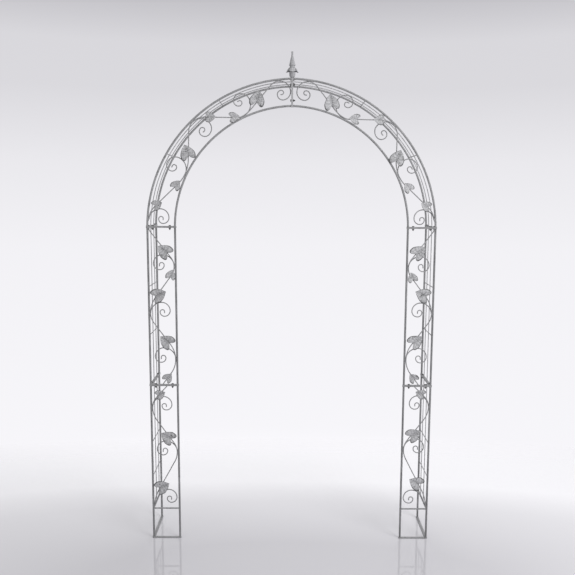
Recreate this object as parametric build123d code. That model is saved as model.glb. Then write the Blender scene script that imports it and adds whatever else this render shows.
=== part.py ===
from build123d import *
from math import atan2, cos, degrees, radians, sin, sqrt
import os

# Metal trellis arch: two legs and a half-round bow, in six welded sections bolted end to end.
# Each section has a front panel with a vine between two posts, and a side grid that runs back
# to a third post. Millimetres, +Z up, +Y away from the viewer, the origin on the ground under
# the middle of the arch. Each half is drawn as a left one, and the right one is then mirrored.

# Overall sizes
overall_width = 1400.0          # outside of one leg's side rails to outside of the other's
lower_joint_height = 800.0      # parting plane between the lower and the middle section
spring_joint_height = 1582.0    # parting plane between the middle section and the bow
panel_width = 133.0             # outer post to inner post, between centres
panel_depth = 224.0             # outer post to back post, between centres
crown_panel_width = 124.5       # outer bow to inner bow at the crown, between centres
bow_rise = 690.0                # height of the outer bow above its foot
bow_sweep = 87.0                # degrees each half of a bow turns through
bow_spare = 2.0                 # degrees it is drawn past its ends before it is trimmed

# Bar sizes
post_diameter = 10.0
rail_width = 12.0
rail_thickness = 4.5
lower_bar_height = 157.0        # middle of the cross bars above the feet
lower_bar_width = 8.0
lower_bar_thickness = 5.0
grid_rod_diameter = 4.0
stem_diameter = 5.0
weld_gap = 0.1                  # room left for the weld between round bars that touch

# Side grid
rods_per_grid = 2
lower_first_rung = 165.0        # above the lower bar
lower_rung_step = 177.0
middle_first_rung = 245.5       # above the lower joint's upper rail
middle_rung_step = 240.0
rungs_per_grid = 2

# Bolts
bolt_diameter = 6.0
bolt_hole_clearance = 0.6
bolt_inset = 25.0               # post centre to bolt centre
bolt_head_height = 4.0
bolt_tail = 5.0                 # thread left past the nut
hexagon_width = 10.0            # across flats, head and nut alike
nut_height = 5.0
thread_clearance = 0.2

# Tendrils: a run of quarter turns that tighten into a scroll
tendril_radii = (54.0, 41.0, 28.0, 21.0, 12.0, 9.5)
tendril_tail = 8.0
end_scroll_scale = 0.92         # the last scroll, beside the crown, is a little smaller
end_scroll_room = {"left": 59.0, "right": 75.0}  # from its weld to the crown's rail
foot_tendril_lean = 22.0        # degrees, the lowest tendril leaves its post at a slant
foot_tendril_lead = 57.0        # and starts with a straight run
inner_tendril_scale = 1.06      # tendrils from the inner post reach a little further
upper_tendril_lead = 12.0       # the bow's upper inner tendril starts with a short straight run

# Leaves, their lengths taken from the tip to the ends of the lobes
large_leaf_length = 74.0
small_leaf_length = 50.0
leaf_width_share = 0.94         # width over length
leaf_thickness = 1.5
leaf_seat_share = 0.72          # from the tip to where the midrib lies on the stem, over the length
leaf_widest_share = 0.6         # from the tip to the widest part, over the length
leaf_notch_share = 0.8          # from the tip to the notch between the lobes, over the length
leaf_shoulder_share = 0.27      # from the tip to the middle of the edge above, over the length
leaf_shoulder_out_share = 0.31  # from the midrib to that place, over the width
leaf_lobe_share = 0.25          # from the midrib to the end of a lobe, over the width
leaf_crest_share = 0.09         # height of each half above the midrib, over the length
leaf_crest_out_share = 0.28     # from the midrib to that crest, over the width
leaf_margin_share = 0.56        # from the midrib to the margin of the sheet, over the width
leaf_margin_height_share = 0.35  # height of the margin, over the crest
leaf_sweep_share = 3.0          # radius of the curl along the midrib, over the length
leaf_sweep_angle = 50.0         # degrees of that curl the sheet is drawn through

# Vine welds, from the top of a section down, as shares of its posts or bows from their lower ends,
# and the leaves' places, from the top down, as shares of the straight runs that they lie on.
# The vine is bent by hand, so the two sides differ a little.
vine_shares = {
    "left": {
        "lower": ((0.828, 0.462, 0.015), (0.80, 0.80, 0.90)),
        "middle": ((0.758, 0.460, 0.163), (0.82, 0.05, 0.95, 0.93, 0.42)),
        "arch": ((0.726, 0.518, 0.288, 0.030), (0.71, 0.16, 0.88, 0.86, 0.13, 0.96)),
    },
    "right": {
        "lower": ((0.841, 0.487, 0.015), (0.78, 0.77, 0.77)),
        "middle": ((0.752, 0.462, 0.165), (0.80, 0.10, 0.91, 0.90, 0.40)),
        "arch": ((0.714, 0.502, 0.282, 0.030), (0.82, 0.24, 0.97, 0.97, 0.16, 0.96)),
    },
}

# Bends of each stem, from the top of a section down: the length of post that its upper and its
# lower bend spans, and none at a straight end
vine_bends = {
    "lower": ((0.0, 29.0), (38.0, 28.0), (24.0, 45.0)),
    "middle": ((10.0, 25.0), (24.0, 45.0), (26.0, 42.0), (38.0, 0.0)),
    "arch": ((24.0, 30.0), (10.0, 32.0), (26.0, 36.0), (28.0, 36.0)),
}

# Tilt of each leaf from the run of its stem, in degrees, from the top of a section down
leaf_tilts = {
    "lower": (-22.0, 20.0, -33.0),
    "middle": (13.0, 19.0, -28.0, 15.0, -5.0),
    "arch": (27.0, 9.0, 0.0, 20.0, 9.0, -18.0),
}
lower_entry = 80.0              # outer post to where the lower vine meets its top rail
middle_exit = 60.0              # outer post to where the middle vine meets its bottom rail
overrun = 12.0                  # length that a slanted stem is drawn past the rail that trims it
exit_slope = 0.7                # sideways run of the middle vine's end over its height

# Finial, heights above its seat on the crown
socket_height = 26.0
socket_radius = 14.0
socket_foot_radius = 9.0
socket_shoulder_share = 0.45    # height where the cup is full, over its own height
socket_flare_slope = 0.6        # slope of the cup at its foot
tenon_radius = 5.0
tenon_depth = 18.0
tenon_clearance = 0.1
shaft_radius = 8.0
crown_height = 45.0
crown_reach = 29.0
crown_tip_drop = 21.0
crown_bend_share = 0.68         # where the drooping leaves bend outwards, over their reach
crown_drop_share = 0.57         # how far they have dropped there, over the whole drop
crown_root_slope = 0.4          # downward slope of the leaves at the neck
crown_tip_slope = 0.15          # and at their tips
crown_thickness = 1.6
crown_leaves = 4
crown_leaf_width = 28.0
crown_leaf_share = 0.5          # where the leaves are widest, over their reach
neck_radius = 10.0
neck_height = 7.5
collar_radius = 15.3
collar_height = 6.5
spear_height = 40.0
point_radius = 3.0
point_height = 19.0

# Places that follow from the sizes above
half = overall_width / 2 - rail_width / 2
post_radius = post_diameter / 2
stem_radius = stem_diameter / 2
bow_foot = spring_joint_height + rail_thickness
bow_span = half - rail_thickness
crown = bow_foot + bow_rise
crown_top = crown + rail_width / 2
front_y = (crown_reach - panel_depth - rail_width / 2) / 2
grid_offset = grid_rod_diameter / 2
layer = stem_radius + weld_gap / 2
weld_reach = sqrt((post_radius + stem_radius + weld_gap) ** 2 - layer ** 2)
leaf_level = layer + stem_radius + weld_gap
lower_bar_top = lower_bar_height + lower_bar_thickness / 2

# The left panel's own plane: x runs from the outer post inwards, y up, z towards the viewer
panel = Plane(origin=(-half, front_y, 0), x_dir=(1, 0, 0), z_dir=(0, -1, 0))


def bow_line(start, end):
    """The centre line of half a bow, from its foot to the crown."""
    chord = (Vector(*end) - Vector(*start)).length
    radius = chord / (2 * sin(radians(bow_sweep / 2)))
    return RadiusArc(start, end, radius)


outer_bow_line = bow_line((0, bow_foot), (bow_span, crown))
inner_bow_line = bow_line((panel_width, bow_foot), (bow_span, crown - crown_panel_width))


def place_on(line, share, inset=0.0):
    """A place beside a post's or a bow's centre line: y along it, x and the inset inwards."""
    along = line % share
    inward = Vector(along.Y, -along.X)
    place = line @ share + inward * inset
    return Location((place.X, place.Y, 0), (0, 0, -degrees(atan2(along.X, along.Y))))


def round_bar(path, diameter):
    """A round bar along a path of lines and tangent arcs."""
    section = Plane(origin=path @ 0, z_dir=path % 0) * Circle(diameter / 2)
    return sweep(section, path=path)


def straight_bar(start, end, diameter):
    return round_bar(Wire([Line(start, end).edge()]), diameter)


def group(solids):
    """Separate solids that make one node."""
    flat = []
    for solid in solids:
        flat.extend(solid.solids())
    return Compound(children=flat)


def level_plane(height):
    return Plane((0, height, 0), x_dir=(1, 0, 0), z_dir=(0, 1, 0))


def below(solid, height):
    """What of a solid lies under a height."""
    return split(solid, bisect_by=level_plane(height), keep=Keep.BOTTOM)


def above(solid, height):
    return split(solid, bisect_by=level_plane(height), keep=Keep.TOP)


# Posts, bows and grids
def post(across, back, low, high):
    return Pos(across, low, -back) * Rot(-90, 0, 0) * Cylinder(
        post_radius, high - low, align=(Align.CENTER, Align.CENTER, Align.MIN))


def bow(line, inset, back, diameter):
    """Half a bow, a little longer than its line and then trimmed to the end rails."""
    foot = place_on(line, 0, inset)
    axis = Axis(line.edge().arc_center, (0, 0, -1))
    section = foot * Pos(0, 0, -back) * Rot(-90, 0, 0) * Circle(diameter / 2)
    bar = revolve(section.rotate(axis, -bow_spare), axis=axis, revolution_arc=bow_sweep + 2 * bow_spare)
    bar = split(bar, bisect_by=Plane((bow_span, 0, 0), z_dir=(1, 0, 0)), keep=Keep.BOTTOM)
    return above(bar, bow_foot)


def rod_backs():
    """Depths of the grid's rods behind the front panel."""
    return [panel_depth * (k + 1) / (rods_per_grid + 1) for k in range(rods_per_grid)]


def leg_rods(low, high):
    return [straight_bar((grid_offset, low, -back), (grid_offset, high, -back), grid_rod_diameter)
            for back in rod_backs()]


def bow_rods():
    return [bow(outer_bow_line, grid_offset, back, grid_rod_diameter) for back in rod_backs()]


def rung(place, front_post, back_post):
    """A rung outside the rods, from post to post, its ends fitted to them."""
    bar = place * Pos(-grid_offset, 0, -panel_depth / 2) * Cylinder(grid_rod_diameter / 2, panel_depth)
    return bar - front_post - back_post


def leg_rungs(first, step, front, back):
    return [rung(Location((0, first + step * k, 0)), front, back) for k in range(rungs_per_grid)]


def bow_rungs(front, back):
    shares = [(k + 1) / (rungs_per_grid + 1) for k in range(rungs_per_grid)]
    return [rung(place_on(outer_bow_line, share), front, back) for share in shares]


# End rails and cross bars
def bolt_hole():
    """A cutter that reaches past both faces of a rail."""
    return Cylinder((bolt_diameter + bolt_hole_clearance) / 2, 3 * rail_thickness)


def bolt_places(length):
    return (bolt_inset, length - bolt_inset)


def front_rail(low, width, bolted):
    """A flat bar across the ends of the outer and inner posts, lying on the height low."""
    rail = Box(width + rail_width, rail_thickness, rail_width)
    rail = Pos(width / 2, low + rail_thickness / 2, 0) * rail
    for across in bolt_places(width) if bolted else ():
        rail -= Pos(across, low, 0) * Rot(90, 0, 0) * bolt_hole()
    return rail


def side_rail(low, bolted):
    """A flat bar from the front rail to the end of the back post."""
    middle = (panel_depth + rail_width) / 2
    rail = Pos(0, low + rail_thickness / 2, -middle) * Box(rail_width, rail_thickness, panel_depth)
    for back in bolt_places(panel_depth) if bolted else ():
        rail -= Pos(0, low, -back) * Rot(90, 0, 0) * bolt_hole()
    return rail


def end_frame(low, width=panel_width, bolted=True):
    return [front_rail(low, width, bolted), side_rail(low, bolted)]


def crown_frame():
    """The end frame at the crown, standing upright against the arch's middle plane."""
    turn = Location((bow_span, crown, 0), (0, 0, -90))
    return [turn * rail for rail in end_frame(0, crown_panel_width)]


def lower_bars(outer, inner, back):
    """Cross bars above the foot, fitted between the posts."""
    front = Box(panel_width, lower_bar_thickness, lower_bar_width)
    front = Pos(panel_width / 2, lower_bar_height, 0) * front - outer - inner
    side = Box(lower_bar_width, lower_bar_thickness, panel_depth)
    side = Pos(0, lower_bar_height, -panel_depth / 2) * side - outer - back - front
    return [front, side]


# Leaves
def leaf_blade(length):
    """A heart-shaped sheet with its tip at +Y and its seat on the stem at the origin."""
    width = length * leaf_width_share
    tip = length * leaf_seat_share
    outline = Curve()
    for hand in (1, -1):
        widest = (hand * width / 2, tip - leaf_widest_share * length)
        shoulder = (hand * leaf_shoulder_out_share * width, tip - leaf_shoulder_share * length)
        lobe = (hand * leaf_lobe_share * width, tip - length)
        outline += ThreePointArc((0, tip), shoulder, widest)
        outline += ThreePointArc(widest, lobe, (0, tip - leaf_notch_share * length))
    prism = extrude(make_face(outline.edges()), amount=length, both=True)
    crest = leaf_crest_share * length
    section = Curve()
    for hand in (1, -1):
        margin = Vector(hand * leaf_margin_share * width, leaf_margin_height_share * crest)
        for level in (Vector(0, 0), Vector(0, leaf_thickness)):
            top = level + Vector(hand * leaf_crest_out_share * width, crest)
            section += ThreePointArc(level, top, margin + level)
        section += Line(margin, margin + Vector(0, leaf_thickness))
    curl = Axis((0, 0, leaf_sweep_share * length), (1, 0, 0))
    start = Plane(origin=(0, 0, 0), x_dir=(1, 0, 0), z_dir=(0, -1, 0)) * make_face(section.edges())
    start = start.rotate(curl, -leaf_sweep_angle / 2)
    return revolve(start, axis=curl, revolution_arc=leaf_sweep_angle) & prism


large_leaf = leaf_blade(large_leaf_length)
small_leaf = leaf_blade(small_leaf_length)


# Vine
def stem_run(start, end, reaches):
    """The edges of a stem between two welds, tangent to the posts there, and its straight run."""
    first = start.position
    last = end.position
    down_first = -Plane(start).y_dir
    down_last = -Plane(end).y_dir
    corner_first = first + down_first * reaches[0]
    corner_last = last - down_last * reaches[1]
    along = (corner_last - corner_first).normalized()
    run = Line(corner_first + along * reaches[0], corner_last - along * reaches[1])
    edges = [run.edge()]
    if reaches[0]:
        edges.insert(0, TangentArc(first, run @ 0, tangent=down_first).edge())
    if reaches[1]:
        edges.append(TangentArc(run @ 1, last, tangent=along).edge())
    return edges, run


def vine(welds, bends, leaves):
    """One long stem bent from weld to weld, and the leaves on its straight runs.

    Each leaf has its share of the run, its blade and its tilt from the run.
    """
    path = []
    blades = []
    for start, end, reaches, run_leaves in zip(welds, welds[1:], bends, leaves):
        edges, run = stem_run(start, end, reaches)
        path.extend(edges)
        along = run % 0
        upwards = degrees(atan2(along.X, -along.Y))
        for share, blade, tilt in run_leaves:
            seat = run @ share
            blades.append(Pos(seat.X, seat.Y, leaf_level) * Rot(0, 0, upwards + tilt) * blade)
    return Pos(0, 0, layer) * round_bar(Wire(path), stem_diameter), blades


def tendril(hand, scale=1.0, lead=0.0, lean=0.0):
    """A scroll that starts at the origin along +Y and turns towards +X (hand 1) or -X (hand -1)."""
    point = Vector(0, 0)
    heading = Vector(hand * sin(radians(lean)), cos(radians(lean)))
    edges = []
    if lead:
        edges.append(Line(point, point + heading * lead).edge())
        point = point + heading * lead
    turn = 90.0 - lean
    for radius in tendril_radii:
        arc = JernArc(point, heading, radius * scale, -hand * turn)
        edges.append(arc.edge())
        point = arc @ 1
        heading = arc % 1
        turn = 90.0
    edges.append(Line(point, point + heading * tendril_tail * scale).edge())
    return Pos(0, 0, -layer) * round_bar(Wire(edges), stem_diameter)


def lower_vine(hand):
    places, shares = vine_shares[hand]["lower"]
    tilts = leaf_tilts["lower"]
    top = lower_joint_height - rail_thickness
    outer = Line((0, lower_bar_top), (0, top))
    inner = Line((panel_width, lower_bar_top), (panel_width, top))
    entry = Location((lower_entry + overrun, top + overrun, 0))
    high = place_on(outer, places[0], weld_reach)
    middle = place_on(inner, places[1], -weld_reach)
    low = place_on(outer, places[2], weld_reach)
    leaves = [
        [(shares[0], small_leaf, tilts[0])],
        [(shares[1], large_leaf, tilts[1])],
        [(shares[2], large_leaf, tilts[2])],
    ]
    stem, blades = vine([entry, high, middle, low], vine_bends["lower"], leaves)
    tendrils = [
        high * tendril(1),
        middle * tendril(-1, scale=inner_tendril_scale),
        low * tendril(1, lead=foot_tendril_lead, lean=foot_tendril_lean),
    ]
    return below(stem, top), blades, tendrils


def middle_vine(hand):
    places, shares = vine_shares[hand]["middle"]
    tilts = leaf_tilts["middle"]
    top = spring_joint_height - rail_thickness
    bottom = lower_joint_height + rail_thickness
    outer = Line((0, bottom), (0, top))
    inner = Line((panel_width, bottom), (panel_width, top))
    start = place_on(outer, 1, weld_reach)
    high = place_on(inner, places[0], -weld_reach)
    middle = place_on(outer, places[1], weld_reach)
    low = place_on(inner, places[2], -weld_reach)
    leave = Location((middle_exit - exit_slope * overrun, bottom - overrun, 0))
    leaves = [
        [(shares[0], large_leaf, tilts[0])],
        [(shares[1], small_leaf, tilts[1]), (shares[2], large_leaf, tilts[2])],
        [(shares[3], large_leaf, tilts[3])],
        [(shares[4], small_leaf, tilts[4])],
    ]
    stem, blades = vine([start, high, middle, low, leave], vine_bends["middle"], leaves)
    tendrils = [
        high * tendril(-1, scale=inner_tendril_scale),
        middle * tendril(1),
        low * tendril(-1, scale=inner_tendril_scale),
    ]
    return above(stem, bottom), blades, tendrils


def bow_vine(hand):
    places, shares = vine_shares[hand]["arch"]
    tilts = leaf_tilts["arch"]
    end = place_on(outer_bow_line, 1 - end_scroll_room[hand] / outer_bow_line.length, weld_reach)
    fourth = place_on(inner_bow_line, places[0], -weld_reach)
    third = place_on(outer_bow_line, places[1], weld_reach)
    second = place_on(inner_bow_line, places[2], -weld_reach)
    first = place_on(outer_bow_line, places[3], weld_reach)
    leaves = [
        [(shares[0], large_leaf, tilts[0])],
        [(shares[1], small_leaf, tilts[1]), (shares[2], small_leaf, tilts[2])],
        [(shares[3], large_leaf, tilts[3])],
        [(shares[4], small_leaf, tilts[4]), (shares[5], small_leaf, tilts[5])],
    ]
    stem, blades = vine([end, fourth, third, second, first], vine_bends["arch"], leaves)
    tendrils = [
        first * tendril(1),
        second * tendril(-1, scale=inner_tendril_scale),
        third * tendril(1),
        fourth * tendril(-1, scale=inner_tendril_scale, lead=upper_tendril_lead),
        end * tendril(1, scale=end_scroll_scale),
    ]
    return stem, blades, tendrils


# The three sections of one side, each as a table of node names and solids in the panel's plane
def lower_section(hand):
    low = rail_thickness
    high = lower_joint_height - rail_thickness
    outer = post(0, 0, low, high)
    inner = post(panel_width, 0, low, high)
    back = post(0, panel_depth, low, high)
    stem, leaves, tendrils = lower_vine(hand)
    return {
        "lower_outer_post": [outer],
        "lower_inner_post": [inner],
        "lower_back_post": [back],
        "lower_rails": end_frame(0, bolted=False) + lower_bars(outer, inner, back) + end_frame(high),
        "lower_grid_rods": leg_rods(lower_bar_top, high),
        "lower_grid_rungs": leg_rungs(lower_bar_height + lower_first_rung, lower_rung_step, outer, back),
        "lower_vine_stem": [stem],
        "lower_vine_tendrils": tendrils,
        "lower_vine_leaves": leaves,
    }


def middle_section(hand):
    low = lower_joint_height + rail_thickness
    high = spring_joint_height - rail_thickness
    outer = post(0, 0, low, high)
    inner = post(panel_width, 0, low, high)
    back = post(0, panel_depth, low, high)
    stem, leaves, tendrils = middle_vine(hand)
    return {
        "middle_outer_post": [outer],
        "middle_inner_post": [inner],
        "middle_back_post": [back],
        "middle_rails": end_frame(lower_joint_height) + end_frame(high),
        "middle_grid_rods": leg_rods(low, high),
        "middle_grid_rungs": leg_rungs(low + middle_first_rung, middle_rung_step, outer, back),
        "middle_vine_stem": [stem],
        "middle_vine_tendrils": tendrils,
        "middle_vine_leaves": leaves,
    }


def bow_section(hand):
    outer = bow(outer_bow_line, 0, 0, post_diameter)
    inner = bow(inner_bow_line, 0, 0, post_diameter)
    back = bow(outer_bow_line, 0, panel_depth, post_diameter)
    stem, leaves, tendrils = bow_vine(hand)
    return {
        "arch_outer_bow": [outer],
        "arch_inner_bow": [inner],
        "arch_back_bow": [back],
        "arch_rails": end_frame(spring_joint_height) + crown_frame(),
        "arch_grid_rods": bow_rods(),
        "arch_grid_rungs": bow_rungs(outer, back),
        "arch_vine_stem": [stem],
        "arch_vine_tendrils": tendrils,
        "arch_vine_leaves": leaves,
    }


# Bolts and nuts, drawn along +Z with the parting plane of the joint at the origin
def hexagon(height):
    return extrude(RegularPolygon(hexagon_width / 2, 6, major_radius=False), amount=height)


def bolt():
    length = 2 * rail_thickness + nut_height + bolt_tail
    shank = Pos(0, 0, rail_thickness) * Cylinder(
        bolt_diameter / 2, length, align=(Align.CENTER, Align.CENTER, Align.MAX))
    return shank + Pos(0, 0, rail_thickness) * hexagon(bolt_head_height)


def nut():
    bore = Cylinder((bolt_diameter + thread_clearance) / 2, 4 * nut_height)
    return Pos(0, 0, -rail_thickness - nut_height) * hexagon(nut_height) - bore


def joint_places():
    """Where the bolts stand: four in each joint of a leg, and four across the crown."""
    places = []
    for height in (lower_joint_height, spring_joint_height):
        for hand in (-1, 1):
            for across in bolt_places(panel_width):
                places.append(Location((hand * (half - across), front_y, height)))
            for back in bolt_places(panel_depth):
                places.append(Location((hand * half, front_y + back, height)))
    for across in bolt_places(crown_panel_width):
        places.append(Location((0, front_y, crown - across), (0, -90, 0)))
    for back in bolt_places(panel_depth):
        places.append(Location((0, front_y + back, crown), (0, -90, 0)))
    return places


# Finial, drawn about Z with its seat at the origin
def finial_socket():
    with BuildPart() as socket:
        with BuildSketch(Plane.XZ):
            with BuildLine():
                base = Line((0, 0), (socket_foot_radius, 0))
                shoulder = (socket_radius, socket_shoulder_share * socket_height)
                bowl = Spline(base @ 1, shoulder, (socket_radius, socket_height),
                              tangents=[(1, socket_flare_slope), (0, 1)])
                Line(bowl @ 1, (0, socket_height))
                Line((0, socket_height), (0, 0))
            make_face()
        revolve(axis=Axis.Z)
    depth = tenon_depth + tenon_clearance
    bore = Cylinder(tenon_radius + tenon_clearance, depth,
                    align=(Align.CENTER, Align.CENTER, Align.MAX))
    return socket.part - Pos(0, 0, socket_height) * bore


def finial_spear():
    """Tenon, shaft, neck, collar, spear and point in one turned piece."""
    collar_low = crown_height + neck_height
    collar_high = collar_low + collar_height
    collar_core = collar_radius - collar_height / 2
    spear_top = collar_high + spear_height
    top = spear_top + point_height
    with BuildPart() as spear:
        with BuildSketch(Plane.XZ):
            with BuildLine():
                lower = Polyline(
                    (0, socket_height - tenon_depth), (tenon_radius, socket_height - tenon_depth),
                    (tenon_radius, socket_height), (shaft_radius, socket_height),
                    (shaft_radius, crown_height), (neck_radius, crown_height),
                    (neck_radius, collar_low), (collar_core, collar_low))
                collar = ThreePointArc(lower @ 1, (collar_radius, collar_low + collar_height / 2),
                                       (collar_core, collar_high))
                cone = Line(collar @ 1, (point_radius, spear_top))
                tip = Line(cone @ 1, (point_radius, top - point_radius))
                end = TangentArc(tip @ 1, (0, top), tangent=tip % 1)
                Line(end @ 1, lower @ 0)
            make_face()
        revolve(axis=Axis.Z)
    return spear.part


def finial_crown():
    """Drooping leaves under the neck: a turned sheet cut to rounded leaves that meet at their sides."""
    flat = neck_radius + crown_thickness
    bore = shaft_radius + tenon_clearance
    tip_height = crown_height - crown_tip_drop
    bend = Vector(crown_bend_share * crown_reach, crown_height - crown_drop_share * crown_tip_drop)
    root = Vector(1, -crown_root_slope)
    end = Vector(1, -crown_tip_slope)
    down = Vector(0, -crown_thickness)
    with BuildPart() as sheet:
        with BuildSketch(Plane.XZ):
            with BuildLine():
                top = Line((bore, crown_height), (flat, crown_height))
                droop = Spline(top @ 1, bend, (crown_reach, tip_height), tangents=[root, end])
                rim = Line(droop @ 1, droop @ 1 + down)
                under = Spline(rim @ 1, bend + down, top @ 1 + down, tangents=[-end, -root])
                inner = Line(under @ 1, top @ 0 + down)
                Line(inner @ 1, top @ 0)
            make_face()
        revolve(axis=Axis.Z)
    plan = Sketch() + Circle(flat)
    for k in range(crown_leaves):
        leaf = Curve()
        for hand in (1, -1):
            widest = (crown_leaf_share * crown_reach, hand * crown_leaf_width / 2)
            leaf += ThreePointArc((0, 0), widest, (crown_reach, 0))
        plan += Rot(0, 0, 360 / crown_leaves * k) * make_face(leaf.edges())
    return sheet.part & extrude(plan, amount=2 * crown_height)


# Write every node
nodes = {}
for hand in ("left", "right"):
    side = {**lower_section(hand), **middle_section(hand), **bow_section(hand)}
    for name, solids in side.items():
        placed = [panel * solid for solid in solids]
        if hand == "right":
            placed = [mirror(solid, about=Plane.YZ) for solid in placed]
        nodes[f"{hand}_{name}"] = placed
nodes["joint_bolts"] = [place * bolt() for place in joint_places()]
nodes["joint_nuts"] = [place * nut() for place in joint_places()]
finial_seat = Pos(0, front_y, crown_top)
nodes["finial_socket"] = [finial_seat * finial_socket()]
nodes["finial_crown"] = [finial_seat * finial_crown()]
nodes["finial_spear"] = [finial_seat * finial_spear()]

os.makedirs("parts", exist_ok=True)
for name, solids in nodes.items():
    export_step(group(solids), f"parts/{name}.step")
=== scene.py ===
import math
import random
import bmesh
import bpy
from mathutils import Matrix, Vector, noise
from mathutils.bvhtree import BVHTree


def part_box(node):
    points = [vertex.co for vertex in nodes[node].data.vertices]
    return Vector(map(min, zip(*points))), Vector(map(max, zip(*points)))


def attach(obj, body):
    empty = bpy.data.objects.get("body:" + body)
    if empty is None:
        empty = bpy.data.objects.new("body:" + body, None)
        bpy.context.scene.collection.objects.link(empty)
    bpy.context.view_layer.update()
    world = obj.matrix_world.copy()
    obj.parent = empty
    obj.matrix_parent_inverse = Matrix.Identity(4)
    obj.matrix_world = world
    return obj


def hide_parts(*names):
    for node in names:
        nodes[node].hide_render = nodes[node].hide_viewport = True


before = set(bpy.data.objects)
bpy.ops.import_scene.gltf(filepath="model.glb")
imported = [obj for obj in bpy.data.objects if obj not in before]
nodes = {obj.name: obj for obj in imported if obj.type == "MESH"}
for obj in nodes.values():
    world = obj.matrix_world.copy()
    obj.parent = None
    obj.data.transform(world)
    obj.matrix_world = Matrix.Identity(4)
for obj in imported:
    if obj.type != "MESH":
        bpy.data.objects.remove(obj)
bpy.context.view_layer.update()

sides = ("left", "right")
sections = ("lower", "middle", "arch")
print("frame loaded:", len(nodes), "nodes")


# camera, fitted to the photograph: place in metres, turns in radians
cameraSet = {
    "place": (-0.02586, -3.3978, 1.7198),
    "pitch": 0.1296,
    "yaw": -0.00236,
    "roll": 0.00423,
    "focalPixels": 682.63,
    "framePixels": 575,
    "sensor": 36.0,
}


def makeCamera(s):
    data = bpy.data.cameras.new("camera")
    data.sensor_width = s["sensor"]
    data.lens = s["focalPixels"] * s["sensor"] / s["framePixels"]
    camera = bpy.data.objects.new("camera", data)
    bpy.context.scene.collection.objects.link(camera)
    level = Matrix(((1, 0, 0), (0, 0, -1), (0, 1, 0)))  # right, down and ahead, looking along +Y
    turn = (Matrix.Rotation(s["roll"], 3, "Z") @ Matrix.Rotation(s["pitch"], 3, "X")
            @ Matrix.Rotation(s["yaw"], 3, "Y") @ level)
    right, down, ahead = turn
    camera.matrix_world = Matrix((right, -down, -ahead)).transposed().to_4x4()
    camera.location = s["place"]
    bpy.context.scene.camera = camera


makeCamera(cameraSet)
print("camera set")


# shader helpers
def addNode(tree, kind, **values):
    node = tree.nodes.new(kind)
    for key, value in values.items():
        if key in node.inputs:
            node.inputs[key].default_value = value
        else:
            setattr(node, key, value)
    return node


def addRamp(tree, source, stops):
    ramp = addNode(tree, "ShaderNodeValToRGB")
    band = ramp.color_ramp
    while len(band.elements) < len(stops):
        band.elements.new(0.5)
    for element, (place, colour) in zip(band.elements, stops):
        element.position = place
        element.color = (*colour, 1.0)
    tree.links.new(source, ramp.inputs["Fac"])
    return ramp.outputs["Color"]


def addMix(tree, share, first, second):
    # each colour is a socket or a plain colour; inputs 6 and 7 and output 2 are the node's colours
    mix = addNode(tree, "ShaderNodeMix", data_type="RGBA")
    tree.links.new(share, mix.inputs[0])
    for source, socket in ((first, mix.inputs[6]), (second, mix.inputs[7])):
        if isinstance(source, bpy.types.NodeSocket):
            tree.links.new(source, socket)
        else:
            socket.default_value = (*source, 1.0)
    return mix.outputs[2]


def addLarger(tree, first, second):
    node = addNode(tree, "ShaderNodeMath", operation="MAXIMUM")
    tree.links.new(first, node.inputs[0])
    tree.links.new(second, node.inputs[1])
    return node.outputs[0]


def addSum(tree, *terms):
    # the values, each times its weight, added up
    total = None
    for value, weight in terms:
        node = addNode(tree, "ShaderNodeMath", operation="MULTIPLY_ADD")
        tree.links.new(value, node.inputs[0])
        node.inputs[1].default_value = weight
        node.inputs[2].default_value = 0.0
        if total:
            tree.links.new(total, node.inputs[2])
        total = node.outputs[0]
    return total


def addSpread(tree, value, fromSpan=(0.0, 1.0), toSpan=(0.0, 1.0)):
    spread = addNode(tree, "ShaderNodeMapRange")
    spread.inputs["From Min"].default_value, spread.inputs["From Max"].default_value = fromSpan
    spread.inputs["To Min"].default_value, spread.inputs["To Max"].default_value = toSpan
    tree.links.new(value, spread.inputs["Value"])
    return spread.outputs["Result"]


def grey(level, cool=0.0):
    return (level, level, level * (1 + cool))


# studio: a pale glossy floor, an oval painted darker in the middle and whiter outwards as painted light,
# and a white surround that greys towards the top of the picture and pales again above it
studio = {
    "floorMiddle": (0.0, -0.5),
    "floorReach": (3.0, 1.1),
    "floorSides": 96,
    "floorLightBands": ((0.0, 0.55), (0.32, 0.55), (0.745, 0.75), (1.0, 0.96)),  # share of the reach, tone: painted light, darker in the middle and whiter outwards
    "floorFade": (0.9, 1.7),        # over its reach, the floor fades out here
    "floorGloss": (0.03, 1.8),      # roughness and index of its polish
    "cast": (0.004, -0.004, 0.028),  # a faint lilac, as in the photo
    "wallBands": (                  # how far up a ray looks, and the tone there
        (-0.36, 0.97), (-0.325, 0.925), (-0.07, 0.89), (0.05, 0.82), (0.15, 0.70), (0.21, 0.69),
        (0.27, 0.53), (0.45, 0.90), (1.0, 0.95),
    ),
    "fill": 0.40,                   # strength of the even light from all around
    "lamps": (                      # place, size and power
        ("keyLamp", (3.2, -3.2, 3.2), (2.4, 1.8), 165.0),
        ("fillLamp", (-3.2, -3.2, 2.4), (2.4, 2.4), 22.0),
        ("topLamp", (0.0, 0.3, 4.8), (3.0, 2.4), 40.0),
        ("backLamp", (0.6, 3.4, 3.0), (3.0, 1.6), 40.0),
    ),
    "aim": (0.0, 0.0, 1.3),
}


def seenDirectly(tree):
    path = addNode(tree, "ShaderNodeLightPath").outputs
    seen = addLarger(tree, path["Is Camera Ray"], path["Is Glossy Ray"])
    return addLarger(tree, seen, path["Is Transmission Ray"])


def spreadBands(tree, value, bands, cast):
    low, high = bands[0][0], bands[-1][0]
    stops = []
    for place, level in bands:
        colour = tuple(min(level + part, 1.0) for part in cast)
        stops.append(((place - low) / (high - low), colour))
    return addRamp(tree, addSpread(tree, value, fromSpan=(low, high)), stops)


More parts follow.
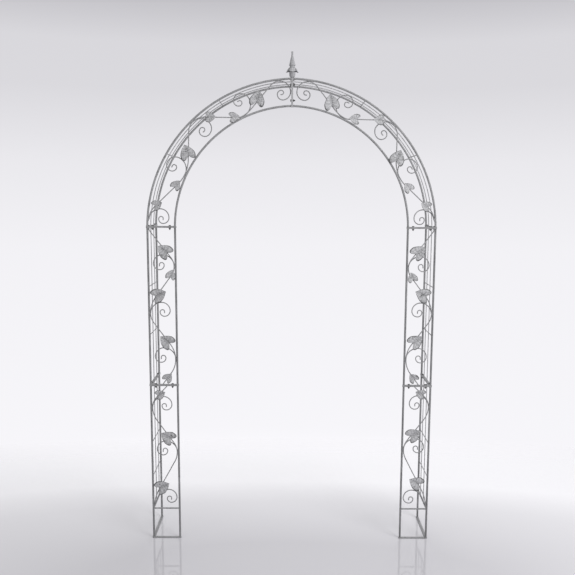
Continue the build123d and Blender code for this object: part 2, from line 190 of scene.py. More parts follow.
def makeSurround(s):
    world = bpy.data.worlds.new("surround")
    bpy.context.scene.world = world
    world.use_nodes = True
    tree = world.node_tree
    tree.nodes.clear()
    coordinate = addNode(tree, "ShaderNodeTexCoord")
    parts = addNode(tree, "ShaderNodeSeparateXYZ")
    tree.links.new(coordinate.outputs["Generated"], parts.inputs[0])
    wall = addNode(tree, "ShaderNodeBackground", Strength=1.0)
    tone = spreadBands(tree, parts.outputs["Z"], s["wallBands"], s["cast"])
    tree.links.new(tone, wall.inputs["Color"])
    fill = addNode(tree, "ShaderNodeBackground", Strength=s["fill"])
    fill.inputs["Color"].default_value = (1.0, 1.0, 1.0, 1.0)
    mix = addNode(tree, "ShaderNodeMixShader")
    tree.links.new(seenDirectly(tree), mix.inputs[0])
    tree.links.new(fill.outputs[0], mix.inputs[1])
    tree.links.new(wall.outputs[0], mix.inputs[2])
    output = addNode(tree, "ShaderNodeOutputWorld")
    tree.links.new(mix.outputs[0], output.inputs["Surface"])


def floorPaint(s):
    material = bpy.data.materials.new("floor")
    material.use_nodes = True
    tree = material.node_tree
    surface = tree.nodes["Principled BSDF"]
    middle, sizes = s["floorMiddle"], s["floorReach"]
    oval = addNode(tree, "ShaderNodeMapping")
    oval.inputs["Scale"].default_value = (1 / sizes[0], 1 / sizes[1], 1.0)
    oval.inputs["Location"].default_value = (-middle[0] / sizes[0], -middle[1] / sizes[1], 0.0)
    coordinate = addNode(tree, "ShaderNodeTexCoord").outputs["Object"]
    tree.links.new(coordinate, oval.inputs["Vector"])
    length = addNode(tree, "ShaderNodeVectorMath", operation="LENGTH")
    tree.links.new(oval.outputs["Vector"], length.inputs[0])
    reach = length.outputs["Value"]
    # painted light on the floor: its colour is darker in the middle and whiter outwards
    tree.links.new(spreadBands(tree, reach, s["floorLightBands"], s["cast"]), surface.inputs["Base Color"])
    surface.inputs["Roughness"].default_value, surface.inputs["IOR"].default_value = s["floorGloss"]
    clear = addNode(tree, "ShaderNodeBsdfTransparent")
    mix = addNode(tree, "ShaderNodeMixShader")
    tree.links.new(addSpread(tree, reach, fromSpan=s["floorFade"]), mix.inputs[0])
    tree.links.new(surface.outputs[0], mix.inputs[1])
    tree.links.new(clear.outputs[0], mix.inputs[2])
    tree.links.new(mix.outputs[0], tree.nodes["Material Output"].inputs["Surface"])
    return material


def makeFloor(s):
    bm = bmesh.new()
    radius = s["floorFade"][1] * max(s["floorReach"])
    bmesh.ops.create_circle(bm, cap_ends=True, segments=s["floorSides"], radius=radius)
    mesh = bpy.data.meshes.new("floor")
    bm.to_mesh(mesh)
    bm.free()
    mesh.materials.append(floorPaint(s))
    floor = bpy.data.objects.new("floor", mesh)
    bpy.context.scene.collection.objects.link(floor)


def makeLamps(s):
    for name, place, size, power in s["lamps"]:
        data = bpy.data.lights.new(name, "AREA")
        data.shape = "RECTANGLE"
        data.size, data.size_y = size
        data.energy = power
        lamp = bpy.data.objects.new(name, data)
        bpy.context.scene.collection.objects.link(lamp)
        lamp.visible_glossy = False     # no lamp shapes mirrored in the floor
        lamp.location = place
        lamp.rotation_euler = (Vector(s["aim"]) - Vector(place)).to_track_quat("-Z", "Y").to_euler()


makeSurround(studio)
makeFloor(studio)
makeLamps(studio)
bpy.context.scene.view_settings.view_transform = "Standard"
print("studio set")


# antique paint: a pale coat brushed over a dark ground and rubbed through here and there; raised places
# are painted lighter, a painted highlight, and hollows, rims and creases darker, painted shade
framePaint = {
    "ground": grey(0.05),
    "coat": grey(0.19, 0.03),
    "wash": grey(0.40, 0.03),
    "cloudScale": 11.0,
    "mottleScale": 190.0,
    "speckScale": 900.0,
    "rubScale": 0.31,               # over the mottle's
    "grain": ("Object", (260.0, 260.0, 260.0)),
    "coatShares": (0.40, 0.30, 0.30),   # of mottle, cloud and grain
    "washSpan": (0.38, 0.68),
    "rubSpan": (0.58, 0.72),
    "rubDepth": 0.85,
    "relief": (0.16, 0.20),         # how much the painted highlight on raised places and the painted shade in hollow ones change the coat
    "rubPaintedLight": (0.4, 0.7),        # times the relief: the painted highlight keeps raised places from the dark ground, the painted shade takes hollow ones towards it
    "roughness": (0.42, 0.66),
    "bump": 0.30,
    "bumpDepth": 0.0008,
    "bumpShares": (0.45, 0.30, 0.25),   # of mottle, grain and speck
}
postPaint = {
    **framePaint,
    "coat": grey(0.145, 0.03),
    "wash": grey(0.33, 0.03),
    "grain": ("Object", (330.0, 330.0, 24.0)),
    "washSpan": (0.42, 0.64),
}
# the finial's relief gives a painted highlight on the crown's ribs and painted shade between its leaves
finialPaint = {**framePaint, "coat": grey(0.25, 0.04), "wash": grey(0.47, 0.04), "relief": (0.18, 0.24)}
rodPaint = {**postPaint, "coat": grey(0.25, 0.03), "wash": grey(0.46, 0.03)}
vinePaint = {**framePaint, "coat": grey(0.18, 0.03)}
leafPaint = {
    **framePaint,
    "coat": grey(0.24, 0.03),
    "wash": grey(0.52, 0.03),
    "grain": ("span", (4.0, 30.0, 1.0)),
    "mottleScale": 150.0,
    "washSpan": (0.40, 0.61),
    "rubSpan": (0.555, 0.67),
    # a faint painted highlight on the veins, and strong painted shade at the edges and beside the midrib
    "relief": (0.09, 0.34),
    "bump": 0.4,
}
fastenerPaint = {**framePaint, "coat": grey(0.07), "wash": grey(0.22), "washSpan": (0.55, 0.75)}
noiseForm = {                       # detail and roughness
    "cloud": (4.0, 0.55),
    "mottle": (5.0, 0.6),
    "grain": (3.0, 0.55),
    "speck": (2.0, 0.5),
    "rub": (7.0, 0.68),
}


def paintMaterial(name, s):
    material = bpy.data.materials.new(name)
    material.use_nodes = True
    tree = material.node_tree
    surface = tree.nodes["Principled BSDF"]
    coordinate = addNode(tree, "ShaderNodeTexCoord").outputs["Object"]

    def addNoise(kind, vector, scale):
        detail, rough = noiseForm[kind]
        node = addNode(tree, "ShaderNodeTexNoise", Scale=scale, Detail=detail, Roughness=rough)
        tree.links.new(vector, node.inputs["Vector"])
        return node.outputs["Fac"]

    # brush marks run up the posts and rods and along the leaves' veins, and have no direction elsewhere
    source, stretch = s["grain"]
    brushed = addNode(tree, "ShaderNodeMapping", Scale=stretch)
    if source == "Object":
        tree.links.new(coordinate, brushed.inputs["Vector"])
    else:
        spread = addNode(tree, "ShaderNodeAttribute", attribute_name=source)
        tree.links.new(spread.outputs["Vector"], brushed.inputs["Vector"])
    raisedHighlight = addNode(tree, "ShaderNodeAttribute", attribute_name="raisedHighlight").outputs["Fac"]
    hollowShade = addNode(tree, "ShaderNodeAttribute", attribute_name="hollowShade").outputs["Fac"]
    cloud = addNoise("cloud", coordinate, s["cloudScale"])
    mottle = addNoise("mottle", coordinate, s["mottleScale"])
    grain = addNoise("grain", brushed.outputs["Vector"], 1.0)
    speck = addNoise("speck", coordinate, s["speckScale"])
    rub = addNoise("rub", coordinate, s["mottleScale"] * s["rubScale"])

    # painted light: the coat is whiter on raised places, a painted highlight, and darker in hollow ones
    # down to the dark ground, painted shade
    more, less = s["relief"]
    highlightSpare, shadeToGround = s["rubPaintedLight"]
    inCoat = zip((mottle, cloud, grain), s["coatShares"])
    blend = addSum(tree, *inCoat, (raisedHighlight, more), (hollowShade, -less))
    washed = addRamp(tree, blend, [(s["washSpan"][0], grey(0.0)), (s["washSpan"][1], grey(1.0))])
    # the dark ground shows where the rub noise wears through, and as painted shade in hollows and along
    # rims
    rubAndShade = addSum(tree, (rub, 1.0), (hollowShade, shadeToGround * less), (raisedHighlight, -highlightSpare * more))
    bareAndShade = addRamp(tree, rubAndShade, [(s["rubSpan"][0], grey(0.0)), (s["rubSpan"][1], grey(s["rubDepth"]))])
    colour = addMix(tree, washed, s["coat"], s["wash"])
    colour = addMix(tree, bareAndShade, colour, s["ground"])
    tree.links.new(colour, surface.inputs["Base Color"])
    tree.links.new(addSpread(tree, speck, toSpan=s["roughness"]), surface.inputs["Roughness"])
    bump = addNode(tree, "ShaderNodeBump", Strength=s["bump"], Distance=s["bumpDepth"])
    tree.links.new(addSum(tree, *zip((mottle, grain, speck), s["bumpShares"])), bump.inputs["Height"])
    tree.links.new(bump.outputs["Normal"], surface.inputs["Normal"])
    return material


paints = {
    "frame": paintMaterial("framePaint", framePaint),
    "post": paintMaterial("postPaint", postPaint),
    "rods": paintMaterial("rodPaint", rodPaint),
    "vine": paintMaterial("vinePaint", vinePaint),
    "leaf": paintMaterial("leafPaint", leafPaint),
    "finial": paintMaterial("finialPaint", finialPaint),
    "fastener": paintMaterial("fastenerPaint", fastenerPaint),
}

# posts and rods have a paint of their own, other nodes that of their slot in the record
for name, node in nodes.items():
    kind = name.split("_")[-1]
    for holder in node.material_slots:
        holder.material = paints[kind if kind in paints else holder.material.name.split(".")[0]]
print("paint mixed")


# mesh helpers
mergeGap = 1e-6
millimetre = 0.001


def islands(nodeName):
    # the separate solids of a CAD node, as lists of points and an area centre each
    bm = bmesh.new()
    bm.from_mesh(nodes[nodeName].data)
    bmesh.ops.remove_doubles(bm, verts=bm.verts, dist=mergeGap)
    found, seen = [], set()
    for start in bm.verts:
        if start in seen:
            continue
        group, faces, queue = [], set(), [start]
        seen.add(start)
        while queue:
            vert = queue.pop()
            group.append(vert)
            faces.update(vert.link_faces)
            for edge in vert.link_edges:
                other = edge.other_vert(vert)
                if other not in seen:
                    seen.add(other)
                    queue.append(other)
        # exact sums, the same in whatever order the faces come
        parts = [(face.calc_area(), face.calc_center_median()) for face in faces]
        area = math.fsum(size for size, middle in parts)
        centre = Vector([math.fsum(size * middle[k] for size, middle in parts) / area for k in range(3)])
        found.append(([vert.co.copy() for vert in group], centre))
    bm.free()
    return found


def cornersOf(points):
    low = Vector(tuple(min(p[k] for p in points) for k in range(3)))
    high = Vector(tuple(max(p[k] for p in points) for k in range(3)))
    return low, high


def placePiece(name, bm, slot, paint, *replaced, smooth=True):
    mesh = bpy.data.meshes.new(name)
    bm.to_mesh(mesh)
    bm.free()
    mesh.polygons.foreach_set("use_smooth", [smooth] * len(mesh.polygons))
    mesh.materials.append(paints[paint])
    piece = bpy.data.objects.new(name, mesh)
    bpy.context.scene.collection.objects.link(piece)
    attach(piece, "root")
    if replaced:
        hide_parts(*replaced)
    return piece


def joinInto(every, one):
    mesh = bpy.data.meshes.new("one")
    one.to_mesh(mesh)
    one.free()
    every.from_mesh(mesh)
    bpy.data.meshes.remove(mesh)


def newVerts(made):
    return [item for item in made["geom"] if isinstance(item, bmesh.types.BMVert)]


def circleThrough(a, b, c):
    d = 2 * (a.x * (b.y - c.y) + b.x * (c.y - a.y) + c.x * (a.y - b.y))
    x = (a.dot(a) * (b.y - c.y) + b.dot(b) * (c.y - a.y) + c.dot(c) * (a.y - b.y)) / d
    y = (a.dot(a) * (c.x - b.x) + b.dot(b) * (a.x - c.x) + c.dot(c) * (b.x - a.x)) / d
    centre = Vector((x, y))
    return centre, (a - centre).length


def arcPoint(a, b, c, share):
    # a point on the arc from a through b to c
    centre, radius = circleThrough(a, b, c)
    angles = [math.atan2(p.y - centre.y, p.x - centre.x) for p in (a, b, c)]
    turn = (angles[2] - angles[0]) % math.tau
    if (angles[1] - angles[0]) % math.tau > turn:
        turn -= math.tau
    angle = angles[0] + turn * share
    return centre + radius * Vector((math.cos(angle), math.sin(angle)))


def curvePoint(start, first, second, end, share):
    # a point on the cubic curve from start to end with two handles
    rest = 1 - share
    return (start * rest ** 3 + first * 3 * rest ** 2 * share + second * 3 * rest * share ** 2
            + end * share ** 3)


def smoothStep(value):
    value = min(max(value, 0.0), 1.0)
    return value * value * (3 - 2 * value)


# leaves: pressed heart-shaped sheet with a raised midrib and side veins
leafForm = {
    "lengths": (0.074, 0.050),
    # over the length, from the tip
    "centroid": 0.56,
    "seat": 0.72,                   # where the midrib lies on the stem
    "widest": 0.6,
    "notch": 0.7,
    "lobe": ((0.25, 1.10), (0.52, 1.13)),   # handles of the curve from the notch round a lobe
    "width": 0.94,
    "shoulder": (0.31, 0.27),       # a place on the upper edge: out over the width, down from the tip
    # height of each half over the length, and how far out over the width
    "crest": 0.09,
    "crestOut": 0.28,
    "margin": 0.56,
    "marginHeight": 0.35,           # over the crest's
    "sweep": 3.0,                   # radius of the curl along the midrib, over the length
    "thickness": 0.0015,
    "grid": (44, 52),
    "lobePart": 0.45,               # share of the edge's steps that go round the lobe
    "midrib": (0.0013, 0.0017),     # height and width
    "vein": (0.0009, 0.034),        # height, and width over the way from notch to tip
    "veinPlaces": (0.16, 0.32, 0.48, 0.64, 0.80),
    "veinSlope": 0.30,
    "fade": (5.0, 6.0, 5.0),        # how fast relief fades towards the tip, the notch and the margin
    "ripple": 0.0007,
    "rippleSpread": (0.5, 1.0),
    "rippleWaves": (9.0, 2.5),      # along the leaf and across it
    "rim": 0.84,                    # painted shade along the leaf's edge from here out, over the half width
    "gutter": (0.35, 0.2),          # how strong the painted shade beside the midrib is, and how far out
    "grainShift": 50.0,
    "seed": 7,
}


def leafEdge(s, share):
    # the right half's edge, from the notch to the tip: out from the midrib, down from the tip
    width = s["width"]
    widest = Vector((width / 2, s["widest"]))
    if share < s["lobePart"]:
        part = share / s["lobePart"]
        return curvePoint(Vector((0, s["notch"])), *map(Vector, s["lobe"]), widest, part)
    shoulder = Vector((s["shoulder"][0] * width, s["shoulder"][1]))
    return arcPoint(widest, shoulder, Vector((0, 0)), (share - s["lobePart"]) / (1 - s["lobePart"]))


def leafDome(s, out):
    centre, radius = circleThrough(Vector((0, 0)), Vector((s["crestOut"] * s["width"], s["crest"])),
                                   Vector((s["margin"] * s["width"], s["marginHeight"] * s["crest"])))
    return centre.y + math.sqrt(max(radius ** 2 - (out - centre.x) ** 2, 0.0))


def makeLeaf(bm, s, length, place, draw):
    raisedHighlight, hollowShade = bm.verts.layers.float["raisedHighlight"], bm.verts.layers.float["hollowShade"]
    span = bm.verts.layers.float_vector["span"]
    across, along = s["grid"]
    verts = bmesh.ops.create_grid(bm, x_segments=across, y_segments=along, size=1.0)["verts"]
    phase = draw.uniform(0, math.tau)
    ripple = draw.uniform(*s["rippleSpread"]) * s["ripple"]
    shift = draw.uniform(0, s["grainShift"])
    toTip, toNotch, toMargin = s["fade"]
    bend = s["sweep"] * length
    for vert in verts:
        side, share = vert.co.x, (vert.co.y + 1) / 2
        out = abs(side)
        rib = Vector((0, s["notch"] * (1 - share)))
        spot = rib.lerp(leafEdge(s, share), out)
        calm = smoothStep(toTip * (1 - share)) * smoothStep(toNotch * share)
        midrib = math.exp(-(spot.x * length / s["midrib"][1]) ** 2) * calm
        slant = share - s["veinSlope"] * out
        near = min(abs(slant - at) for at in s["veinPlaces"])
        vein = math.exp(-(near / s["vein"][1]) ** 2) * smoothStep(toMargin * (1 - out)) * calm
        wave = s["rippleWaves"][0] * share + phase + s["rippleWaves"][1] * side
        high = leafDome(s, spot.x) * length
        high += s["midrib"][0] * midrib + s["vein"][0] * vein * (1 - midrib)
        high += ripple * calm * out ** 3 * math.sin(wave)
        turn = (s["seat"] - spot.y) / s["sweep"]
        vert.co = Vector((math.copysign(spot.x, side) * length, (bend - high) * math.sin(turn),
                          bend - (bend - high) * math.cos(turn)))
        # painted light: a painted highlight on the midrib and veins, painted shade along the edge and
        # beside the midrib
        rim = smoothStep((out - s["rim"]) / (1 - s["rim"]))
        gutter = s["gutter"][0] * math.exp(-(out / s["gutter"][1]) ** 2) * (1 - midrib)
        vert[raisedHighlight] = max(midrib, vein)
        vert[hollowShade] = max(rim, gutter)
        vert[span] = Vector((side + shift, slant, shift))
    bmesh.ops.remove_doubles(bm, verts=verts, dist=mergeGap)
    verts = [vert for vert in verts if vert.is_valid]
    faces = list({face for vert in verts for face in vert.link_faces})
    bmesh.ops.recalc_face_normals(bm, faces=faces)
    if sum(face.normal.z for face in faces) < 0:
        bmesh.ops.reverse_faces(bm, faces=faces)
    shell = bmesh.ops.solidify(bm, geom=faces, thickness=-s["thickness"])["geom"]
    every = {vert for face in shell if isinstance(face, bmesh.types.BMFace) for vert in face.verts}
    every.update(verts)
    bmesh.ops.recalc_face_normals(bm, faces=list({face for vert in every for face in vert.link_faces}))
    bmesh.ops.transform(bm, matrix=place, verts=list(every))


def leafPlace(s, points, centre):
    # the tip is the point furthest from the middle of the leaf
    tip = max(points, key=lambda p: (p - centre).length)
    up = Vector((tip.x - centre.x, 0, tip.z - centre.z))
    length = min(s["lengths"], key=lambda size: abs(up.length - s["centroid"] * size))
    up.normalize()
    facing = Vector((0, -1, 0))
    right = up.cross(facing)
    reach = s["sweep"] * length * math.sin(s["seat"] / s["sweep"])
    seat = up * (max(p.dot(up) for p in points) - reach) + right * tip.dot(right)
    seat.y = max(p.y for p in points)
    turn = Matrix((right, up, facing)).transposed().to_4x4()
    return length, Matrix.Translation(seat) @ turn


def makeLeaves(s):
    draw = random.Random(s["seed"])
    for side in sides:
        for section in sections:
            node = f"{side}_{section}_vine_leaves"
            bm = bmesh.new()
            bm.verts.layers.float.new("raisedHighlight")
            bm.verts.layers.float.new("hollowShade")
            bm.verts.layers.float_vector.new("span")
            for points, centre in islands(node):
                length, place = leafPlace(s, points, centre)
                makeLeaf(bm, s, length, place, draw)
            placePiece(f"{side}_{section}_pressed_leaves", bm, "leaf", "leaf", node)


makeLeaves(leafForm)
print("leaves pressed")


# finial: turned spear and socket, and a crown of drooping leaves, in millimetres
finialForm = {
    # outlines: out from the axis, up from the seat
    "socket": (
        (0.0, 0.0), (8.4, 0.0), (9.2, 0.5), (11.0, 2.2), (12.7, 4.8), (13.7, 8.0), (14.0, 11.5),
        (13.6, 12.3), (13.6, 13.1), (14.0, 13.9), (14.0, 23.4), (14.5, 24.0), (14.6, 24.8), (14.3, 25.7),
        (13.6, 26.0), (5.1, 26.0), (5.1, 8.0), (0.0, 7.9),
    ),
    "spear": (
        (0.0, 8.0), (4.6, 8.0), (5.0, 8.4), (5.0, 26.0), (8.0, 26.0), (8.0, 45.0), (11.9, 45.0),
        (12.3, 45.4), (12.0, 47.0), (11.8, 48.8), (12.0, 50.8), (12.5, 52.2), (13.1, 52.5), (14.0, 52.95),
        (14.9, 54.1), (15.3, 55.75), (14.9, 57.3), (14.2, 58.5), (13.5, 59.0), (13.3, 59.8), (13.5, 60.5),
        (12.9, 63.6), (10.6, 74.2), (8.1, 84.4), (5.9, 93.6), (5.0, 97.6), (4.5, 99.6), (4.3, 103.0),
        (4.2, 111.6), (4.4, 113.4), (4.5, 115.0), (4.1, 116.6), (3.0, 117.6), (1.5, 117.95), (0.0, 118.0),
    ),
    "turns": 56,
    "droop": (
        (8.1, 45.0), (12.6, 45.0), (14.6, 44.2), (17.0, 42.5), (19.6, 39.7), (21.8, 36.4), (23.6, 33.0),
        (25.2, 29.4), (26.6, 26.4), (27.9, 24.2), (29.4, 22.6),
    ),
    "leafReach": 29.4,
    "leafCusp": 24.6,               # where two leaves meet
    "leafPoint": 0.85,              # under 1 the leaves are broad, above it pointed
    "leaves": 4,
    "leafRoot": 11.6,
    "leafRise": 6.0,                # ribs and folds rise over this length
    "leafThickness": 1.6,
    "leafRib": (1.1, 1.4),          # height and width
    "leafFold": 1.6,                # how much lower the sides of a leaf lie than its rib
    "leafValley": 0.75,             # painted shade from here to the cusp, over the half leaf
    "crownGrid": (128, 24),
    "merge": 1e-5,
}


def turnedShape(s, profile):
    bm = bmesh.new()
    verts = [bm.verts.new((radius, 0, height)) for radius, height in profile]
    edges = [bm.edges.new(pair) for pair in zip(verts, verts[1:])]
    bmesh.ops.spin(bm, geom=verts + edges, cent=(0, 0, 0), axis=(0, 0, 1), angle=math.tau,
                   steps=s["turns"], use_merge=True)
    bmesh.ops.remove_doubles(bm, verts=bm.verts, dist=s["merge"])
    bmesh.ops.recalc_face_normals(bm, faces=bm.faces)
    return bm


def crownEdge(s, aside):
    # how far the crown reaches: aside is 0 on a leaf's rib and 1 at the cusps beside it
    return s["leafCusp"] + (s["leafReach"] - s["leafCusp"]) * max(1 - aside, 0.0) ** s["leafPoint"]


def heightAt(line, radius):
    for (near, first), (far, last) in zip(line, line[1:]):
        if radius <= far:
            return first + (last - first) * (radius - near) / (far - near)
    return line[-1][1]


def crownShape(s):
    bm = bmesh.new()
    raisedHighlight, hollowShade = bm.verts.layers.float.new("raisedHighlight"), bm.verts.layers.float.new("hollowShade")
    around, along = s["crownGrid"]
    grid = bmesh.ops.create_grid(bm, x_segments=around, y_segments=along, size=1.0)
    sector = math.tau / s["leaves"]
    bore = s["droop"][0][0]
    for vert in grid["verts"]:
        angle, share = vert.co.x * math.pi, (vert.co.y + 1) / 2
        off = (angle + sector / 2) % sector - sector / 2
        aside = abs(off) * s["leaves"] / math.pi
        radius = bore + (crownEdge(s, aside) - bore) * share
        grown = smoothStep((radius - s["leafRoot"]) / s["leafRise"])
        rib = math.exp(-(radius * math.sin(off) / s["leafRib"][1]) ** 2) * grown
        height = heightAt(s["droop"], radius) + s["leafRib"][0] * rib
        height -= s["leafFold"] * grown * aside ** 2 + s["leafThickness"] / 2
        vert.co = Vector((radius * math.cos(angle), radius * math.sin(angle), height))
        # painted light: a painted highlight along each leaf's rib, painted shade in the creases towards
        # the cusps
        vert[raisedHighlight] = rib
        vert[hollowShade] = smoothStep((aside - s["leafValley"]) / (1 - s["leafValley"])) * grown
    bmesh.ops.remove_doubles(bm, verts=bm.verts, dist=s["merge"])
    bmesh.ops.recalc_face_normals(bm, faces=bm.faces)
    bmesh.ops.solidify(bm, geom=bm.faces[:], thickness=s["leafThickness"])
    bmesh.ops.recalc_face_normals(bm, faces=bm.faces)
    return bm


def makeFinial(s):
    low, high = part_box("finial_socket")
    middle = (low + high) / 2
    seat = Matrix.Translation((middle.x, middle.y, low.z)) @ Matrix.Scale(millimetre, 4)
    for name, slot, node, bm in (
        ("turned_socket", "frame", "finial_socket", turnedShape(s, s["socket"])),
        ("turned_spear", "frame", "finial_spear", turnedShape(s, s["spear"])),
        ("drooping_crown", "leaf", "finial_crown", crownShape(s)),
    ):
        bmesh.ops.transform(bm, matrix=seat, verts=bm.verts)
        placePiece(name, bm, slot, "finial", node)


makeFinial(finialForm)
print("finial turned")


# flat rails: rolled bars with eased edges, a front bar and a side bar at each level
railForm = {
    "ease": 0.0008,
    "steps": 3,
    "lap": 0.001,                   # how far a side bar runs into its front bar
    "crownHighlight": 1.0,               # a painted highlight: the uprights under the finial are painted paler, as where light falls on them
}


def rolledBar(every, s, low, high, uprightHighlight):
    bm = bmesh.new()
    raisedHighlight = bm.verts.layers.float.new("raisedHighlight")
    size = Matrix.Diagonal((*(high - low), 1.0))
    bmesh.ops.create_cube(bm, size=1.0, matrix=Matrix.Translation((low + high) / 2) @ size)
    bmesh.ops.bevel(bm, geom=bm.edges[:], offset=s["ease"], offset_type="OFFSET", affect="EDGES",
                    segments=s["steps"], profile=0.5, material=-1)
    # a painted highlight over the whole bar, where one is given
    for vert in bm.verts:
        vert[raisedHighlight] = uprightHighlight
    joinInto(every, bm)


def makeRails(s):
    for side in sides:
        for section in sections:
            begin = f"{side}_{section}_"
            post = "outer_bow" if section == "arch" else "outer_post"
            line = sum(corner.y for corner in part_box(begin + post)) / 2
            every = bmesh.new()
            every.verts.layers.float.new("raisedHighlight")
            for points, centre in islands(begin + "rails"):
                low, high = cornersOf(points)
                width = 2 * (line - low.y)          # the posts stand on the bars' middle
                upright = high.x - low.x < width    # the crown's frame
                # only the uprights under the finial get the painted highlight
                uprightHighlight = s["crownHighlight"] if upright else 0.0
                rolledBar(every, s, low, Vector((high.x, low.y + width, high.z)), uprightHighlight)
                low.y += width - s["lap"]
                if upright:
                    low.z = high.z - width
                elif side == "left":
                    high.x = low.x + width
                else:
                    low.x = high.x - width
                rolledBar(every, s, low, high, uprightHighlight)
            placePiece(begin + "rolled_rails", every, "frame", "frame", begin + "rails", smooth=False)


makeRails(railForm)
print("rails rolled")


# bolts and nuts, millimetres along +Z with the joint's parting plane at the origin
boltForm = {
    "flats": 10.0,
    "head": (4.5, 8.5),
    "nut": (-9.5, -4.5),
    "end": -14.5,
    "shank": 3.0,
    "root": 2.72,
    "bore": 3.1,
    "pitch": 1.0,
    "threadStart": 0.6,             # the thread begins this far inside the nut
    "threadSteps": ((0.25, "root"), (0.5, "root"), (0.75, "shank"), (1.0, "shank")),
    "point": (0.4, 0.35),           # the bolt's end narrows by this, over this length
    "sides": 24,
    "hexSides": 6,
    "chamfer": 0.55,
    "chamferSteps": 2,
    "sharp": 35.0,                  # degrees
    "touch": 0.01,
}


def chamferEnd(bm, s, height):
    # the outer edges at this height
    inside = s["flats"] / 2 - s["touch"]
    level = [vert for vert in bm.verts if abs(vert.co.z - height) < s["touch"]]
    ends = {vert for vert in level if vert.co.xy.length > inside}
    edges = [edge for edge in bm.edges if ends.issuperset(edge.verts)]
    bmesh.ops.bevel(bm, geom=edges, offset=s["chamfer"], offset_type="OFFSET", affect="EDGES",
                    segments=s["chamferSteps"], profile=0.5, material=-1)


def makeBolt(s):
    bm = bmesh.new()
    low, high = s["head"]
    corner = s["flats"] / math.sqrt(3)
    bmesh.ops.create_cone(bm, cap_ends=True, segments=s["hexSides"], radius1=corner, radius2=corner,
                          depth=high - low, matrix=Matrix.Translation((0, 0, (low + high) / 2)))
    chamferEnd(bm, s, high)
    # shank, plain through the rails and threaded where it leaves the nut
    ring = bmesh.ops.create_circle(bm, cap_ends=True, segments=s["sides"], radius=s["shank"],
                                   matrix=Matrix.Translation((0, 0, low)))["verts"]
    edges = list({edge for vert in ring for edge in vert.link_edges})
    levels = [(s["nut"][1], s["shank"])]
    height = s["nut"][0] + s["threadStart"]
    narrowing, tip = s["point"]
    while height - s["pitch"] > s["end"] + tip:
        for share, size in s["threadSteps"]:
            levels.append((height - share * s["pitch"], s[size]))
        height -= s["pitch"]
    levels += [(s["end"] + tip, s["root"]), (s["end"], s["root"] - narrowing)]
    radius = s["shank"]
    for level, size in levels:
        made = bmesh.ops.extrude_edge_only(bm, edges=edges)
        edges = [item for item in made["geom"] if isinstance(item, bmesh.types.BMEdge)]
        for vert in newVerts(made):
            vert.co = Vector((vert.co.x * size / radius, vert.co.y * size / radius, level))
        radius = size
    bmesh.ops.contextual_create(bm, geom=edges)
    bmesh.ops.recalc_face_normals(bm, faces=bm.faces)
    return bm


def makeNut(s):
    bm = bmesh.new()
    low, high = s["nut"]
    base = Matrix.Translation((0, 0, low))
    bmesh.ops.create_circle(bm, segments=s["hexSides"], radius=s["flats"] / math.sqrt(3), matrix=base)
    bmesh.ops.subdivide_edges(bm, edges=bm.edges[:], cuts=s["sides"] // s["hexSides"] - 1)
    bmesh.ops.create_circle(bm, segments=s["sides"], radius=s["bore"], matrix=base)
    ring = bmesh.ops.bridge_loops(bm, edges=bm.edges[:])["faces"]
    made = bmesh.ops.extrude_face_region(bm, geom=ring)
    bmesh.ops.translate(bm, vec=(0, 0, high - low), verts=newVerts(made))
    bmesh.ops.recalc_face_normals(bm, faces=bm.faces)
    chamferEnd(bm, s, low)
    return bm


def boltPlace(points, above):
    # the head is above the parting plane, or on the left of the crown's
    low, high = cornersOf(points)
    middle = (low + high) / 2
    size = Matrix.Scale(millimetre, 4)
    if high.x - low.x > high.z - low.z:
        middle.x = low.x + above
        return Matrix.Translation(middle) @ Matrix.Rotation(-math.pi / 2, 4, "Y") @ size
    middle.z = high.z - above
    return Matrix.Translation(middle) @ size


def makeFasteners(s):
    places = [boltPlace(points, millimetre * s["head"][1]) for points, centre in islands("joint_bolts")]
    for name, node, make in (("hex_bolts", "joint_bolts", makeBolt), ("hex_nuts", "joint_nuts", makeNut)):
        every = bmesh.new()
        for place in places:
            one = make(s)
            bmesh.ops.transform(one, matrix=place, verts=one.verts)
            joinInto(every, one)
        piece = placePiece(name, every, "fastener", "fastener", node)
        piece.data.set_sharp_from_angle(angle=math.radians(s["sharp"]))


makeFasteners(boltForm)
print("fasteners cut")


# weld beads: a lumpy ring around each bar end, a short run beside each bent stem, a tack behind each leaf
weldForm = {
    "post": (0.0050, 0.0016, 24),   # bar radius, bead radius and steps around
    "rod": (0.0020, 0.0010, 14),
    "beadSides": 6,
    "seam": (0.0021, 0.0024, 0.0090),   # half sizes of a run beside a post
    "tack": (0.0022, 0.0020, 0.0036),   # and of a tack behind a leaf
    "lumpGrid": (10, 12),
    "lump": 0.5,                    # how uneven a bead is, over its radius
    "lumpScale": 420.0,
    "reach": 0.0012,                # a stem this close to a post is welded to it
    "apart": 0.040,                 # and two such runs are at least this far apart
}


def roughen(bm, s, size):
    bm.normal_update()
    lifts = [noise.noise(vert.co * s["lumpScale"]) * s["lump"] * size for vert in bm.verts]
    for vert, lift in zip(bm.verts, lifts):
        vert.co += vert.normal * lift


def weldRing(every, s, kind, place, axis):
    bar, bead, steps = s[kind]
    bm = bmesh.new()
    start = Matrix.Translation((bar, 0, 0)) @ Matrix.Rotation(math.pi / 2, 4, "X")
    bmesh.ops.create_circle(bm, segments=s["beadSides"], radius=bead, matrix=start)
    bmesh.ops.spin(bm, geom=bm.verts[:] + bm.edges[:], cent=(0, 0, 0), axis=(0, 0, 1), angle=math.tau,
                   steps=steps, use_merge=True)
    bmesh.ops.recalc_face_normals(bm, faces=bm.faces)
    turn = Vector(axis).to_track_quat("Z", "Y").to_matrix().to_4x4()
    bmesh.ops.transform(bm, matrix=Matrix.Translation(place) @ turn, verts=bm.verts)
    roughen(bm, s, bead)
    joinInto(every, bm)


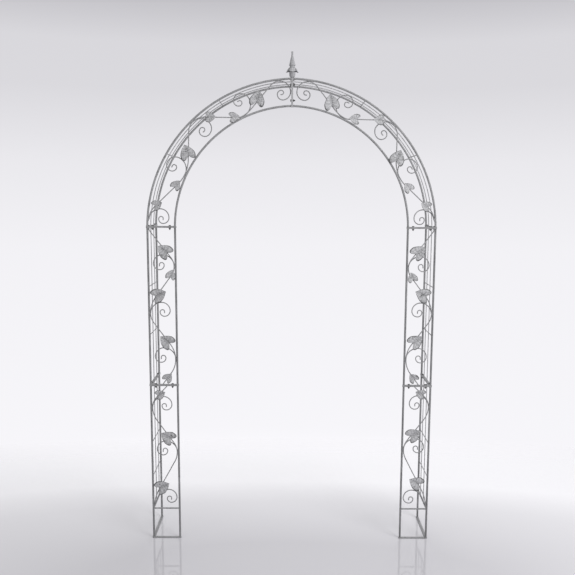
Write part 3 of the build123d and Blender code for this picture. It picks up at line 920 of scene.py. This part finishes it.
def weldSeam(every, s, kind, place, along):
    bm = bmesh.new()
    turn = along.to_track_quat("Z", "Y").to_matrix().to_4x4()
    around, up = s["lumpGrid"]
    bmesh.ops.create_uvsphere(bm, u_segments=around, v_segments=up, radius=1.0)
    size = Matrix.Diagonal((*s[kind], 1.0))
    bmesh.ops.transform(bm, matrix=Matrix.Translation(place) @ turn @ size, verts=bm.verts)
    roughen(bm, s, s[kind][0])
    joinInto(every, bm)


def endWelds(every, s, kind, side, section, low, high):
    # where a post, a bow or a rod stands on the rails at its two ends
    middle = (low + high) / 2
    radius = s[kind][0]
    if section == "arch":
        foot, crown = (low.x + radius, high.x) if side == "left" else (high.x - radius, low.x)
        weldRing(every, s, kind, (foot, middle.y, low.z), (0, 0, 1))
        weldRing(every, s, kind, (crown, middle.y, high.z - radius), (1, 0, 0))
    else:
        weldRing(every, s, kind, (middle.x, middle.y, low.z), (0, 0, 1))
        weldRing(every, s, kind, (middle.x, middle.y, high.z), (0, 0, 1))


def seamPlaces(s, post, points):
    # the places where a bent bar comes closest to a post, with the run of the post there
    mesh = nodes[post].data
    corners = [vert.co for vert in mesh.vertices]
    tree = BVHTree.FromPolygons(corners, [face.vertices for face in mesh.polygons])
    hits = []
    for point in points:
        spot, normal, index, gap = tree.find_nearest(point, s["reach"])
        if spot is not None:
            hits.append((gap, spot, normal))
    places = []
    for gap, spot, normal in sorted(hits, key=lambda hit: hit[0]):
        if all((spot - other).length > s["apart"] for other, along in places):
            places.append((spot, normal.cross((0, 1, 0)).normalized()))
    return places


def makeWelds(s):
    for side in sides:
        for section in sections:
            every = bmesh.new()
            begin = f"{side}_{section}_"
            bar = "bow" if section == "arch" else "post"
            for name in ("outer", "inner", "back"):
                endWelds(every, s, "post", side, section, *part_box(f"{begin}{name}_{bar}"))
            for points, centre in islands(begin + "grid_rods"):
                endWelds(every, s, "rod", side, section, *cornersOf(points))
            for points, centre in islands(begin + "grid_rungs"):
                low, high = cornersOf(points)
                for end in (low.y, high.y):
                    weldRing(every, s, "rod", (centre.x, end, centre.z), (0, 1, 0))
            for vine in ("vine_stem", "vine_tendrils"):
                for points, centre in islands(begin + vine):
                    for name in ("outer", "inner"):
                        for place, along in seamPlaces(s, f"{begin}{name}_{bar}", points):
                            weldSeam(every, s, "seam", place, along)
            for points, centre in islands(begin + "vine_leaves"):
                length, place = leafPlace(leafForm, points, centre)
                weldSeam(every, s, "tack", place.translation, place.col[1].xyz)
            placePiece(begin + "weld_beads", every, "frame", "frame")


makeWelds(weldForm)
print("welds laid")
